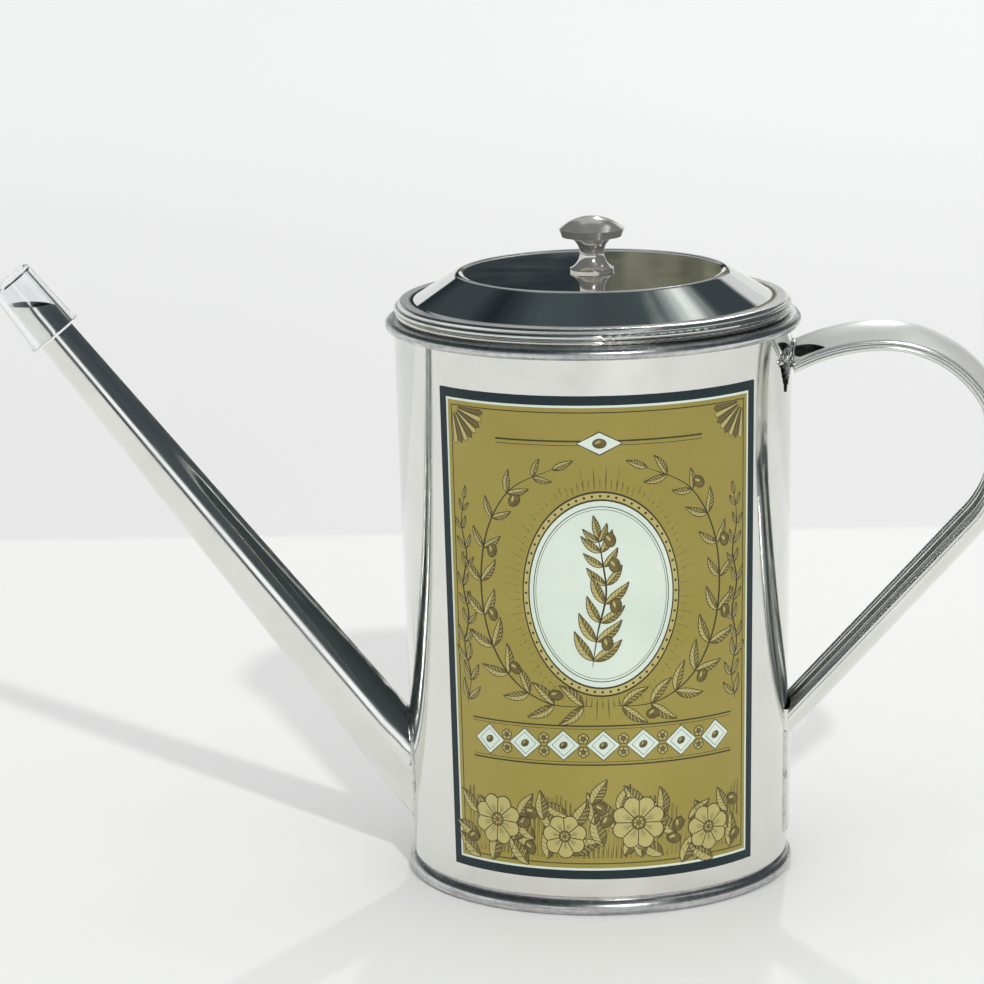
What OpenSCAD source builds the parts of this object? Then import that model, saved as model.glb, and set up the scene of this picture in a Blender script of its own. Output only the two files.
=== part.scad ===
// Round sheet-metal oil can with a long pouring spout, a strap handle and a lift-off lid.
// +Z is up, the foot bead stands on z = 0 and the wall's axis is the Z axis.
// The spout points along -X, the handle along +X and the printed panel faces -Y.

/* [Can wall] */
// Outside diameter of the wall at its top edge
wall_top_d = 104.9; // [96:0.1:114]
// How much narrower the wall is at its bottom edge
wall_taper = 4.9; // [2:0.1:7]
// Height of the wall's top edge above the table
wall_top_z = 149.1; // [140:0.1:175]
// Thickness of the wall's sheet
wall_t = 0.6; // [0.4:0.1:1]

/* [Rim ring] */
// Diameter of the rolled bead outside the top edge
rim_bead_d = 3; // [2:0.1:4]
// How far the bead laps over the wall's outer face
rim_bead_lap = 0.7; // [0.3:0.1:0.9]
// Thickness of the hem folded over the top edge
rim_hem_t = 0.6; // [0.4:0.1:1]
// Depth of the hem inside the wall
rim_hem_h = 4; // [2:0.1:7]

/* [Base pan] */
// Diameter of the rolled foot bead
foot_bead_d = 4.1; // [3:0.1:6]
// How far the foot bead stands out past the wall's bottom edge
foot_out = 1.4; // [0.6:0.1:2.4]
// Width of the flat worn on the underside of the foot bead, as a depth cut off it
foot_flat = 0.1; // [0.05:0.01:0.3]
// Open groove between the foot bead and the wall
foot_groove = 1.0; // [0.5:0.1:2]
// Thickness of the pan's sheet
pan_t = 0.6; // [0.4:0.1:1]
// Height of the pan's raised floor above the wall's bottom edge
pan_rise = 3; // [1.5:0.1:8]

/* [Printed panel] */
// Height of the panel
label_h = 127.6; // [60:0.1:130]
// Height of the panel's lower edge above the wall's bottom edge
label_up = 4.8; // [2:0.1:8]
// Width of the panel round the wall, in degrees
label_angle = 100.6; // [60:0.1:140]
// Turn of the panel's middle from the front towards the handle, in degrees
label_turn = 1.3; // [-10:0.1:10]
// Thickness of the panel
label_t = 0.15; // [0.1:0.01:0.4]
// Gap between the panel and the wall
label_gap = 0.05; // [0.04:0.01:0.1]

/* [Spout] */
// Lean of the spout from upright, in degrees
spout_lean = 37.85; // [32:0.05:42]
// Height at which the spout's axis meets the wall
spout_root_z = 28.5; // [25:0.1:45]
// Outside diameter of the spout where its axis meets the wall
spout_root_d = 18.2; // [14:0.1:22]
// Height of the spout's level-cut tip above the wall's top edge
spout_tip_up = 5.2; // [-15:0.1:20]
// Outside diameter of the spout at its tip
spout_tip_d = 9.7; // [8:0.1:12]
// Thickness of the spout's sheet
spout_t = 0.6; // [0.4:0.1:1]
// Width of the solder round the spout's root
spout_solder_w = 2; // [1:0.1:3]
// Height of the solder on the wall
spout_solder_h = 1.4; // [0.8:0.1:2]

/* [Spout cap] */
// Overall length of the cap
cap_len = 19.7; // [17:0.1:26]
// Length of the cap over the spout, measured on the axis up to the level cut
cap_over = 10.3; // [8:0.1:11.5]
// Outside diameter of the cap at its open end
cap_open_d = 14.2; // [13.6:0.1:17]
// Outside diameter of the cap at its closed end
cap_end_d = 12.2; // [12:0.1:15]
// Thickness of the cap's closed end
cap_end_t = 1.4; // [0.8:0.1:2]
// Height of the small lip at the open end
cap_lip_h = 1.2; // [0.6:0.1:2]
// How far the lip stands out
cap_lip_out = 0.35; // [0.2:0.05:0.8]
// Gap between the cap's bore and the spout
cap_gap = 0.15; // [0.1:0.01:0.4]

/* [Handle] */
// Width of the strap
handle_w = 20; // [14:0.1:24]
// Thickness of the strap
handle_t = 0.8; // [0.6:0.1:1.2]
// Height of the strap's crown over its two edges
handle_crown = 3.8; // [1.5:0.1:4.5]
// Depth of the turned-down edges
handle_edge_h = 1.9; // [1.5:0.1:5]
// Diameter of the rolled hem along each edge
handle_hem_d = 1.5; // [1.3:0.1:2]
// Depth of the strap's highest line of edges below the wall's top edge
handle_drop = 6.3; // [4:0.1:25]
// Distance from the can's axis to the outermost strap edge
handle_reach = 107.5; // [98:0.1:125]
// Radius of the strap's first stretch, from the wall to its top
handle_top_r = 52; // [40:0.5:90]
// Radius of the strap's outer bend
handle_bend_r = 32; // [26:0.1:38]
// Radius of the strap's lower bend
handle_low_r = 26.5; // [18:0.1:32]
// Slope of the strap's straight lower stretch below level, in degrees
handle_slope = 46.8; // [40:0.1:54]
// Height of the tail's lower end above the wall's bottom edge
tail_up = 5.2; // [3:0.1:12]
// Width of the tail laid on the wall
tail_w = 20; // [12:0.1:24]
// Thickness of the solder at the handle's ends
handle_solder_t = 0.9; // [0.4:0.1:1.5]
// Width of the solder round the handle's ends
handle_solder_w = 1.6; // [0.8:0.1:3]

/* [Lid] */
// Thickness of the lid's sheet
lid_t = 0.6; // [0.4:0.1:1]
// Gap all round between the lid's collar and the rim ring
lid_clearance = 0.45; // [0.3:0.05:0.8]
// Gap between the collar's bead and the rim ring it rests on
lid_seat_gap = 0.2; // [0.1:0.05:0.4]
// Diameter of the lid's rolled edge
lid_roll_d = 1.6; // [1:0.1:2]
// Height of the lid's flat ledge above the rim ring
lid_ledge_h = 4.65; // [4:0.05:6.5]
// Width of the lid's flat ledge
lid_ledge_w = 4.2; // [2:0.1:8]
// Height of the plateau's crest above the rim ring
lid_crest_h = 11.7; // [9:0.1:25]
// Radius of the plateau's crest
lid_crest_r = 35.2; // [20:0.1:40]
// Rounding of the crest where the slope starts
lid_crest_round = 3; // [1:0.1:4]
// Rounding of the ledge's outer edge
lid_edge_round = 1; // [0.6:0.1:1.5]
// Depth of the flat plateau below its crest
lid_dish = 0.4; // [0.2:0.1:2]
// Width of the rounded step from the crest down to the plateau
lid_step_w = 1.2; // [1:0.1:5]
// Depth of the collar below the rim ring's top
collar_h = 8; // [4:0.1:20]
// Thickness of the collar's sheet
collar_t = 0.6; // [0.4:0.1:1]
// Diameter of the bead round the collar that rests on the rim ring
collar_bead_d = 1.6; // [1.2:0.1:2]
// How far the middle of that bead lies outside the collar's face
collar_bead_out = 0.3; // [0.2:0.1:0.5]

/* [Knob] */
// Diameter of the knob's foot
knob_foot_d = 11.4; // [9:0.1:16]
// Diameter of the knob's narrow neck
knob_neck_d = 6.4; // [5.6:0.1:8]
// Diameter of the knob's disc
knob_disc_d = 17.4; // [14:0.1:24]
// Height of the knob's disc edge above the plateau
knob_disc_h = 11.3; // [10:0.1:16]
// Height of the band under the disc's edge
knob_band_h = 2.1; // [1:0.1:3]
// How far the band narrows towards the neck
knob_band_in = 0.8; // [0.2:0.1:1.5]
// Height of the domed top over the disc's edge
knob_dome_h = 3.3; // [1.5:0.1:5]
// Height of the foot's upright edge
knob_foot_h = 0.5; // [0.3:0.1:1]
// Diameter of the screw that holds the knob
screw_d = 4; // [3:0.1:4.4]
// Depth of the screw in the knob
screw_in = 7; // [4:0.1:8]
// Diameter of the screw's head
screw_head_d = 7; // [5.6:0.1:8]
// Height of the screw's head
screw_head_h = 2.4; // [1.6:0.1:3.5]
// Diameter of the washer
washer_d = 9.6; // [8.4:0.1:14]
// Thickness of the washer
washer_t = 0.8; // [0.5:0.1:1.5]
// Gap round the screw in the lid and washer
screw_gap = 0.15; // [0.1:0.01:0.3]
// Gap round the screw in the knob's bore
thread_gap = 0.05; // [0.02:0.01:0.1]

/* [Hidden] */
$fn = 96;

// Wall: a cone between two heights, its outside radius at any height
wall_bottom_z = foot_bead_d - foot_flat + foot_groove;
wall_bottom_d = wall_top_d - wall_taper;
wall_lean = (wall_top_d - wall_bottom_d) / 2 / (wall_top_z - wall_bottom_z);
function wall_r(z) = wall_bottom_d / 2 + wall_lean * (z - wall_bottom_z);
far_z = 40;

// Rim
rim_top_z = wall_top_z + rim_hem_t;
rim_in_r = wall_r(wall_top_z) - wall_t - rim_hem_t;
rim_bead_z = rim_top_z - rim_bead_d / 2;
rim_bead_r = wall_r(rim_bead_z) + rim_bead_d / 2 - rim_bead_lap;

// Foot
foot_bead_r = wall_r(wall_bottom_z) + foot_out - foot_bead_d / 2;
foot_bead_z = foot_bead_d / 2 - foot_flat;
pan_floor_z = wall_bottom_z + pan_rise;

// Spout: s runs along its axis from the wall to the level cut
spout_tip_z = wall_top_z + spout_tip_up;
spout_more = 8;
spout_root = [-wall_r(spout_root_z), 0, spout_root_z];
spout_len = (spout_tip_z - spout_root_z) / cos(spout_lean);
spout_back = spout_root_d / 2 / tan(spout_lean) + spout_more;
spout_past = spout_tip_d;
function spout_r(s) = spout_root_d / 2 + (spout_tip_d - spout_root_d) / 2 * s / spout_len;

// Cap, in the same s
cap_s = spout_len - cap_over;
cap_end_s = cap_s + cap_len;
cap_bore_s = cap_end_s - cap_end_t;

// Handle: centres of its three bends in the plane y = 0, and how far its ends are drawn
// into the can before the wall cuts them
handle_top_z = wall_top_z - handle_drop;
start_in = 6;
run_in = 8;
bend_x = handle_reach - handle_bend_r;
bend_z = handle_top_z - handle_bend_r;
top_c_z = handle_top_z - handle_top_r;
low_x = handle_reach - handle_low_r;
low_turn = 90 - handle_slope;
crown_r = (handle_w * handle_w / 4 + handle_crown * handle_crown) / (2 * handle_crown);
root_turn = asin((bend_x - wall_r(handle_top_z) + start_in) / handle_top_r);
low_end_x = low_x + handle_low_r * cos(low_turn);
low_end_z = bend_z - handle_low_r * sin(low_turn);
low_run = (low_end_x - wall_bottom_d / 2 + run_in) / cos(handle_slope);
run_lap = 0.5;
run_thin = 0.02;
root_z = top_c_z + sqrt(handle_top_r * handle_top_r - pow(bend_x - wall_r(handle_top_z), 2));
foot_z = (low_end_z - (low_end_x - wall_r(0)) * tan(handle_slope)) / (1 - wall_lean * tan(handle_slope));
tail_z = wall_bottom_z + tail_up;

// Lid
collar_r = rim_in_r - lid_clearance;
collar_bead_r = collar_r + collar_bead_out;
collar_bead_z = rim_top_z + lid_seat_gap + collar_bead_d / 2;
lid_drop_r = collar_r + lid_t;
lid_roll_r = collar_r + lid_roll_d / 2;
lid_roll_z = collar_bead_z + collar_bead_d / 2 + lid_roll_d / 2;
ledge_z = rim_top_z + lid_ledge_h;
slope_foot_r = lid_drop_r - lid_ledge_w;
crest_z = rim_top_z + lid_crest_h;
plateau_z = crest_z - lid_dish;
plateau_r = lid_crest_r - lid_step_w;

// Slope of the lid: the straight line from the ledge that touches the crest's rounding
lid_run = slope_foot_r - lid_crest_r;
lid_fall = lid_crest_h - lid_ledge_h - lid_crest_round;
lid_slope = atan2(lid_fall, lid_run) + asin(lid_crest_round / sqrt(lid_run * lid_run + lid_fall * lid_fall));

// Knob
disc_z = plateau_z + knob_disc_h;
band_z = disc_z - knob_band_h;
band_r = knob_disc_d / 2 - knob_band_in;
knob_low_z = plateau_z + knob_foot_h;
neck_mid_z = (knob_low_z + band_z) / 2;
neck_half = (band_z - knob_low_z) / 2;
neck_in = (band_r + knob_foot_d / 2) / 2 - knob_neck_d / 2;
neck_curve = (neck_half * neck_half + neck_in * neck_in) / (2 * neck_in);
dome_r = (pow(knob_disc_d / 2, 2) + knob_dome_h * knob_dome_h) / (2 * knob_dome_h);

// A smooth S from 0 to 1, steeper in the middle
function ease(t) = t - 0.5 * sin(360 * t) / (2 * PI);

// Solid cone that follows the wall, "off" outside its outer face
module wall_cone(z0, z1, off) {
    translate([0, 0, z0])
        cylinder(h = z1 - z0, r1 = wall_r(z0) + off, r2 = wall_r(z1) + off);
}

// Everything inside the wall's outer face, past both ends
module wall_core() {
    wall_cone(-far_z, wall_top_z + far_z, 0);
}

// Solid cone along the spout's axis, "off" outside its outer face
module spout_cone(s0, s1, off) {
    translate(spout_root)
        rotate([0, -spout_lean, 0])
            translate([0, 0, s0])
                cylinder(h = s1 - s0, r1 = spout_r(s0) + off, r2 = spout_r(s1) + off);
}

module can_wall() {
    color([0.78, 0.78, 0.79])
    difference() {
        wall_cone(wall_bottom_z, wall_top_z, 0);
        wall_cone(wall_bottom_z - 1, wall_top_z + 1, -wall_t);
        spout_cone(-spout_back, spout_back, -spout_t);
    }
}

module rim_ring() {
    leg_z = rim_top_z - rim_hem_h;
    color([0.62, 0.63, 0.64])
    rotate_extrude()
    difference() {
        union() {
            translate([rim_bead_r, rim_bead_z])
                circle(r = rim_bead_d / 2);
            translate([rim_in_r, wall_top_z])
                square([rim_bead_r - rim_in_r, rim_hem_t]);
            polygon([
                [wall_r(leg_z) - wall_t - rim_hem_t, leg_z],
                [wall_r(leg_z) - wall_t, leg_z],
                [wall_r(wall_top_z) - wall_t, wall_top_z],
                [wall_r(wall_top_z), rim_top_z],
                [rim_in_r, rim_top_z]
            ]);
        }
        polygon([
            [wall_r(leg_z - 1) - wall_t, leg_z - 1],
            [wall_r(leg_z - 1), leg_z - 1],
            [wall_r(wall_top_z), wall_top_z],
            [wall_r(wall_top_z) - wall_t, wall_top_z]
        ]);
    }
}

module base_pan() {
    in_r0 = wall_r(wall_bottom_z) - wall_t;
    in_r1 = wall_r(pan_floor_z) - wall_t;
    color([0.68, 0.69, 0.7])
    rotate_extrude()
    difference() {
        union() {
            translate([foot_bead_r, foot_bead_z])
                circle(r = foot_bead_d / 2);
            translate([0, pan_floor_z - pan_t])
                square([in_r1 - pan_t / 2, pan_t]);
            polygon([
                [in_r0 - pan_t, foot_bead_z],
                [in_r0, foot_bead_z],
                [in_r0, wall_bottom_z],
                [in_r1, pan_floor_z],
                [in_r1 - pan_t, pan_floor_z]
            ]);
        }
        translate([0, -foot_bead_d])
            square([foot_bead_r + foot_bead_d, foot_bead_d]);
    }
}

module label() {
    z0 = wall_bottom_z + label_up;
    z1 = z0 + label_h;
    color([0.6, 0.52, 0.2])
    rotate([0, 0, label_turn - 90 - label_angle / 2])
    rotate_extrude(angle = label_angle)
        polygon([
            [wall_r(z0) + label_gap, z0],
            [wall_r(z0) + label_gap + label_t, z0],
            [wall_r(z1) + label_gap + label_t, z1],
            [wall_r(z1) + label_gap, z1]
        ]);
}

module spout_tube() {
    color([0.74, 0.74, 0.75])
    difference() {
        spout_cone(-spout_back, spout_len + spout_past, 0);
        spout_cone(-spout_back - 1, spout_len + spout_past + 1, -spout_t);
        wall_core();
        translate([spout_root[0] - 3 * spout_len, -spout_root_d, spout_tip_z])
            cube([4 * spout_len, 2 * spout_root_d, 4 * spout_past]);
    }
}

module spout_joint() {
    color([0.7, 0.7, 0.68])
    difference() {
        intersection() {
            spout_cone(-spout_back, spout_back, spout_solder_w);
            wall_cone(wall_bottom_z, wall_top_z, spout_solder_h);
        }
        spout_cone(-spout_back - 1, spout_back + 1, 0);
        wall_core();
    }
}

module spout_cap() {
    lip_s = cap_s + cap_lip_h;
    color([0.9, 0.93, 0.95, 0.35])
    translate(spout_root)
    rotate([0, -spout_lean, 0])
    rotate_extrude()
        polygon([
            [spout_r(cap_s) + cap_gap, cap_s],
            [cap_open_d / 2 + cap_lip_out, cap_s],
            [cap_open_d / 2 + cap_lip_out, lip_s],
            [cap_open_d / 2 + (cap_end_d - cap_open_d) / 2 * cap_lip_h / cap_len, lip_s],
            [cap_end_d / 2, cap_end_s - 0.6],
            [cap_end_d / 2 - 0.6, cap_end_s],
            [0, cap_end_s],
            [0, cap_bore_s],
            [spout_r(cap_bore_s) + cap_gap - 0.5, cap_bore_s],
            [spout_r(cap_bore_s) + cap_gap, cap_bore_s - 0.5]
        ]);
}

// Section of the strap: x is outward from the line of its edges, y is across it,
// and "thin" takes a skin off every face, or adds one where it is negative
module strap_section(x0, thin = 0) {
    half = handle_w / 2;
    difference() {
        intersection() {
            translate([x0 + handle_crown - crown_r, 0])
                circle(r = crown_r - thin);
            translate([x0 + thin, thin - half])
                square([handle_crown - thin + 1, handle_w - 2 * thin]);
        }
        translate([x0 + handle_crown - crown_r, 0])
            circle(r = crown_r - handle_t + thin);
    }
    for (side = [-1, 1]) {
        translate([x0 - handle_edge_h, (side > 0 ? half - handle_t : -half) + thin])
            square([handle_edge_h + handle_t / 2, handle_t - 2 * thin]);
        translate([x0 - handle_edge_h, side * (half - handle_hem_d / 2)])
            circle(r = handle_hem_d / 2 - thin, $fn = 24);
    }
}

// Flat frame in the plane y = 0: local x is X, local y is Z
module side_plane(x, z) {
    translate([x, 0, z])
        rotate([90, 0, 0])
            children();
}

// First stretch, from inside the wall up to the strap's top
module strap_start(thin = 0) {
    side_plane(bend_x, top_c_z)
        rotate([0, 0, 90])
            rotate_extrude(angle = root_turn)
                strap_section(handle_top_r, thin);
}

// Straight lower stretch, from a short lap in the lower bend into the wall
module strap_run() {
    side_plane(low_x, bend_z)
        rotate([0, 0, -low_turn])
            translate([handle_low_r, run_lap, 0])
                rotate([90, 0, 0])
                    linear_extrude(height = low_run + run_lap)
                        strap_section(0, run_thin);
}

// Block that stands for the tail's outline on the wall
module tail_block() {
    translate([0, -tail_w / 2, tail_z])
        cube([handle_reach, tail_w, foot_z - tail_z]);
}

module handle_strap() {
    color([0.74, 0.74, 0.75]) {
        difference() {
            strap_start();
            wall_core();
        }
        side_plane(bend_x, bend_z)
            rotate_extrude(angle = 90)
                strap_section(handle_bend_r);
        side_plane(low_x, bend_z)
            rotate_extrude(angle = -low_turn)
                strap_section(handle_low_r);
        difference() {
            strap_run();
            wall_core();
        }
        difference() {
            intersection() {
                wall_cone(tail_z - 1, foot_z + 1, handle_t);
                tail_block();
            }
            wall_core();
        }
    }
}

// Solder that follows the strap's outline where it meets the wall
module handle_top_joint() {
    color([0.5, 0.5, 0.48])
    difference() {
        intersection() {
            wall_cone(tail_z, rim_bead_z - rim_bead_d / 2, handle_solder_t);
            strap_start(-handle_solder_w);
        }
        wall_core();
        strap_start();
    }
}

// Thin patch of solder on the wall between two heights, w wide
module solder_patch(z0, z1, w) {
    intersection() {
        wall_cone(z0, z1, handle_solder_t);
        translate([0, -w / 2, z0 - 1])
            cube([handle_reach, w, z1 - z0 + 2]);
    }
}

module handle_foot_joint() {
    color([0.5, 0.5, 0.48])
    difference() {
        solder_patch(tail_z - handle_solder_w,
                     foot_z + (handle_edge_h + handle_hem_d) / cos(handle_slope) + handle_solder_w,
                     max(tail_w, handle_w) + 2 * handle_solder_w);
        wall_core();
        tail_block();
        strap_run();
    }
}

// Outer line of the lid from the middle out to the drop, and the same line one sheet lower
function lid_line(d) = concat(
    [[0, plateau_z - d], [plateau_r, plateau_z - d]],
    [for (i = [1 : 5]) [plateau_r + lid_step_w * i / 5, plateau_z - d + lid_dish * ease(i / 5)]],
    [for (i = [1 : 6])
        [lid_crest_r + lid_crest_round * sin(lid_slope * i / 6),
         crest_z - d - lid_crest_round * (1 - cos(lid_slope * i / 6))]],
    [[slope_foot_r, ledge_z - d]]
);
function reversed(list) = [for (i = [len(list) - 1 : -1 : 0]) list[i]];

module lid_shell() {
    color([0.72, 0.72, 0.73])
    difference() {
        union() {
            rotate_extrude()
                polygon(concat(
                    lid_line(0),
                    [for (turn = [0 : 22.5 : 90])
                        [lid_drop_r - lid_edge_round * (1 - sin(turn)),
                         ledge_z - lid_edge_round * (1 - cos(turn))]],
                    [[lid_drop_r, lid_roll_z],
                     [collar_r, lid_roll_z],
                     [collar_r, ledge_z - lid_edge_round],
                     [collar_r - lid_edge_round / 2, ledge_z - lid_t]],
                    reversed(lid_line(lid_t))
                ));
            rotate_extrude()
                translate([lid_roll_r, lid_roll_z])
                    circle(r = lid_roll_d / 2, $fn = 24);
        }
        translate([0, 0, plateau_z - 3 * lid_t])
            cylinder(h = 6 * lid_t, r = screw_d / 2 + screw_gap);
    }
}

// Ring that drops into the mouth, with the bead that carries the lid on the rim ring
module lid_collar() {
    low_z = rim_top_z - collar_h;
    high_z = ledge_z - lid_edge_round;
    color([0.7, 0.7, 0.71])
    difference() {
        union() {
            translate([0, 0, low_z])
                cylinder(h = high_z - low_z, r = collar_r);
            rotate_extrude()
                translate([collar_bead_r, collar_bead_z])
                    circle(r = collar_bead_d / 2, $fn = 24);
        }
        translate([0, 0, low_z - 1])
            cylinder(h = high_z - low_z + 2, r = collar_r - collar_t);
    }
}

module lid_knob() {
    color([0.66, 0.64, 0.58])
    difference() {
        rotate_extrude()
        union() {
            difference() {
                polygon([
                    [0, plateau_z],
                    [knob_foot_d / 2, plateau_z],
                    [knob_foot_d / 2, knob_low_z],
                    [band_r, band_z],
                    [knob_disc_d / 2, disc_z],
                    [0, disc_z]
                ]);
                translate([knob_neck_d / 2 + neck_curve, neck_mid_z])
                    circle(r = neck_curve);
            }
            intersection() {
                translate([0, disc_z + knob_dome_h - dome_r])
                    circle(r = dome_r);
                translate([0, disc_z - 0.01])
                    square([knob_disc_d / 2, knob_dome_h + 0.02]);
            }
        }
        translate([0, 0, plateau_z - 1])
            cylinder(h = screw_in + 2, r = screw_d / 2 + thread_gap);
    }
}

module knob_washer() {
    color([0.7, 0.7, 0.7])
    translate([0, 0, plateau_z - lid_t - washer_t])
    difference() {
        cylinder(h = washer_t, r = washer_d / 2);
        translate([0, 0, -1])
            cylinder(h = washer_t + 2, r = screw_d / 2 + screw_gap);
    }
}

module knob_screw() {
    head_z = plateau_z - lid_t - washer_t - screw_head_h;
    slot_w = screw_head_d * 0.16;
    slot_l = screw_head_d * 0.6;
    color([0.6, 0.6, 0.6])
    translate([0, 0, head_z])
    difference() {
        union() {
            cylinder(h = screw_head_h * 0.4, r1 = screw_head_d * 0.4, r2 = screw_head_d / 2);
            translate([0, 0, screw_head_h * 0.4])
                cylinder(h = screw_head_h * 0.6, r = screw_head_d / 2);
            cylinder(h = screw_head_h + washer_t + lid_t + screw_in, r = screw_d / 2);
        }
        for (turn = [0, 90])
            rotate([0, 0, turn])
                translate([-slot_l / 2, -slot_w / 2, -1])
                    cube([slot_l, slot_w, 1 + screw_head_h * 0.5]);
    }
}

can_wall();
rim_ring();
base_pan();
label();
spout_tube();
spout_joint();
spout_cap();
handle_strap();
handle_top_joint();
handle_foot_joint();
lid_shell();
lid_collar();
lid_knob();
knob_washer();
knob_screw();
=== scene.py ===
"""Looks for the sheet-metal oil can: materials, printed panel, solder, stage, lights and camera.

Lengths are metres in the CAD's own frame: the can's axis is Z, the foot stands on z = 0, the spout points
along -X, the handle along +X and the printed panel faces -Y.
"""
import math
import random

import bmesh
import bpy
from mathutils import Matrix, Vector, geometry, noise


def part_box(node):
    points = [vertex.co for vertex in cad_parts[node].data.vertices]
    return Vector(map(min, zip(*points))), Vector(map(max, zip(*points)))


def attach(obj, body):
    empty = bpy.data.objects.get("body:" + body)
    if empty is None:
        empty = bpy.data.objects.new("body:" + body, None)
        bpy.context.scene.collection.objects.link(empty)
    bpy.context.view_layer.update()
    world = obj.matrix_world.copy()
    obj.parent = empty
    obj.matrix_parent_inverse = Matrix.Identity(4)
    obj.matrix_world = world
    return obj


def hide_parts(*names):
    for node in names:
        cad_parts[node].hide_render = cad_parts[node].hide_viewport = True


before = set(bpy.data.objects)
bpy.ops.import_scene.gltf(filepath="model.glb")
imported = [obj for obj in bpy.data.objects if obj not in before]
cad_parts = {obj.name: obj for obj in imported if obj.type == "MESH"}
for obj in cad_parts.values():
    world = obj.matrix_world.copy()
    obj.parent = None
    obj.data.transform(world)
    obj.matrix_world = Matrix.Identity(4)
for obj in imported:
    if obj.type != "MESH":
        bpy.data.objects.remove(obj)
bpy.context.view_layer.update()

MM = 0.001

# Places taken from the frame
wall_low, wall_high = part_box("can_wall")
WALL_TOP_R = wall_high.x
WALL_BOTTOM_R = 50.0 * MM
WALL_LEAN = (WALL_TOP_R - WALL_BOTTOM_R) / (wall_high.z - wall_low.z)
label_low, label_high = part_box("label")


def wall_r(z):
    """Outside radius of the can's wall at height z."""
    return WALL_BOTTOM_R + WALL_LEAN * (z - wall_low.z)


# Camera, fitted to the rims, the knob and the panel's corners in the photograph
CAMERA_PLACE = Vector((0.0, -1.12497, 0.3425))
CAMERA_PITCH = 0.2106
CAMERA_YAW = -0.0244
CAMERA_ROLL = -0.0195
LENS_IN_FRAME_WIDTHS = 4330.1 / 984
SENSOR_MM = 36.0
CLIP_START = 0.05
CLIP_END = 50


def make_camera():
    cos_y, sin_y = math.cos(CAMERA_YAW), math.sin(CAMERA_YAW)
    cos_p, sin_p = math.cos(CAMERA_PITCH), math.sin(CAMERA_PITCH)
    cos_r, sin_r = math.cos(CAMERA_ROLL), math.sin(CAMERA_ROLL)
    ahead = Vector((sin_y * cos_p, cos_y * cos_p, -sin_p))
    level_right = Vector((cos_y, -sin_y, 0))
    level_up = level_right.cross(ahead)
    right = cos_r * level_right + sin_r * level_up
    up = cos_r * level_up - sin_r * level_right
    data = bpy.data.cameras.new("camera")
    data.sensor_width = SENSOR_MM
    data.lens = LENS_IN_FRAME_WIDTHS * SENSOR_MM
    data.clip_start = CLIP_START
    data.clip_end = CLIP_END
    camera = bpy.data.objects.new("camera", data)
    bpy.context.scene.collection.objects.link(camera)
    turn = Matrix((right, up, -ahead)).transposed()
    camera.matrix_world = Matrix.Translation(CAMERA_PLACE) @ turn.to_4x4()
    bpy.context.scene.camera = camera


class Shader:
    """One node material, with short calls for the nodes that the materials here use."""

    def __init__(self, name, tree=None):
        if tree is None:
            self.material = bpy.data.materials.new(name)
            self.material.use_nodes = True
            tree = self.material.node_tree
        self.tree = tree
        self.tree.nodes.clear()

    def feed(self, socket, value):
        """Links another node's output to a socket, or sets a plain value there."""
        if isinstance(value, bpy.types.NodeSocket):
            self.tree.links.new(value, socket)
        else:
            socket.default_value = value

    def node(self, kind, settings=None, **inputs):
        made = self.tree.nodes.new("ShaderNode" + kind)
        for key, value in (settings or {}).items():
            setattr(made, key, value)
        for key, value in inputs.items():
            self.feed(made.inputs[key.replace("_", " ")], value)
        return made

    def math(self, operation, a, b=0.0):
        made = self.node("Math", {"operation": operation})
        self.feed(made.inputs[0], a)
        self.feed(made.inputs[1], b)
        return made.outputs[0]

    def plus(self, a, b):
        return self.math("ADD", a, b)

    def times(self, a, b):
        return self.math("MULTIPLY", a, b)

    def vector_math(self, operation, *vectors):
        """The vector that an operation gives, or its number where it gives one."""
        made = self.node("VectorMath", {"operation": operation})
        for socket, value in zip(made.inputs, vectors):
            self.feed(socket, value)
        return made.outputs["Vector" if operation == "NORMALIZE" else "Value"]

    def split(self, vector):
        """The three parts of a vector."""
        return self.node("SeparateXYZ", Vector=vector).outputs

    def place(self):
        return self.node("TexCoord").outputs["Object"]

    def stretched(self, vector, scale):
        return self.node("Mapping", Vector=vector, Scale=scale).outputs[0]

    def noise(self, vector, scale, detail=3.0, rough=0.5):
        made = self.node("TexNoise", Vector=vector, Scale=scale, Detail=detail, Roughness=rough)
        return made.outputs["Fac"]

    def span(self, value, low, high, out_low=0.0, out_high=1.0, smooth=False):
        """The value, carried from low..high to out_low..out_high and held at the ends."""
        made = self.node("MapRange", {"interpolation_type": "SMOOTHSTEP" if smooth else "LINEAR"},
                         Value=value, From_Min=low, From_Max=high, To_Min=out_low, To_Max=out_high)
        return made.outputs[0]

    def blend(self, share, a, b):
        """Colour a where the share is 0 and colour b where it is 1."""
        made = self.node("Mix", {"data_type": "RGBA"})
        for socket, value in ((made.inputs[0], share), (made.inputs[6], a), (made.inputs[7], b)):
            self.feed(socket, value)
        return made.outputs[2]

    def bump(self, height, strength, distance, normal=None):
        made = self.node("Bump", Strength=strength, Distance=distance, Height=height)
        if normal is not None:
            self.feed(made.inputs["Normal"], normal)
        return made.outputs[0]

    def surface(self, **inputs):
        shader = self.node("BsdfPrincipled", **inputs)
        output = self.node("OutputMaterial")
        self.tree.links.new(shader.outputs[0], output.inputs[0])
        return self.material


def rgb(r, g, b):
    return (r, g, b, 1.0)


STEEL = rgb(0.80, 0.805, 0.765)
STEEL_WORN = rgb(0.72, 0.725, 0.69)
# The painted top is a painted reflection that makes the strap's up-facing top paler and duller: the heights
# over which it comes in, where it ends past its width, how much mirror it takes and how much roughness it
# adds.
PAINTED_TOP_HEIGHTS = (0.1, 0.115)
PAINTED_TOP_EDGE = (-0.0006, 0.0004)
PAINTED_TOP_SPREAD = 0.6
PAINTED_TOP_ROUGH = 0.16
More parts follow.
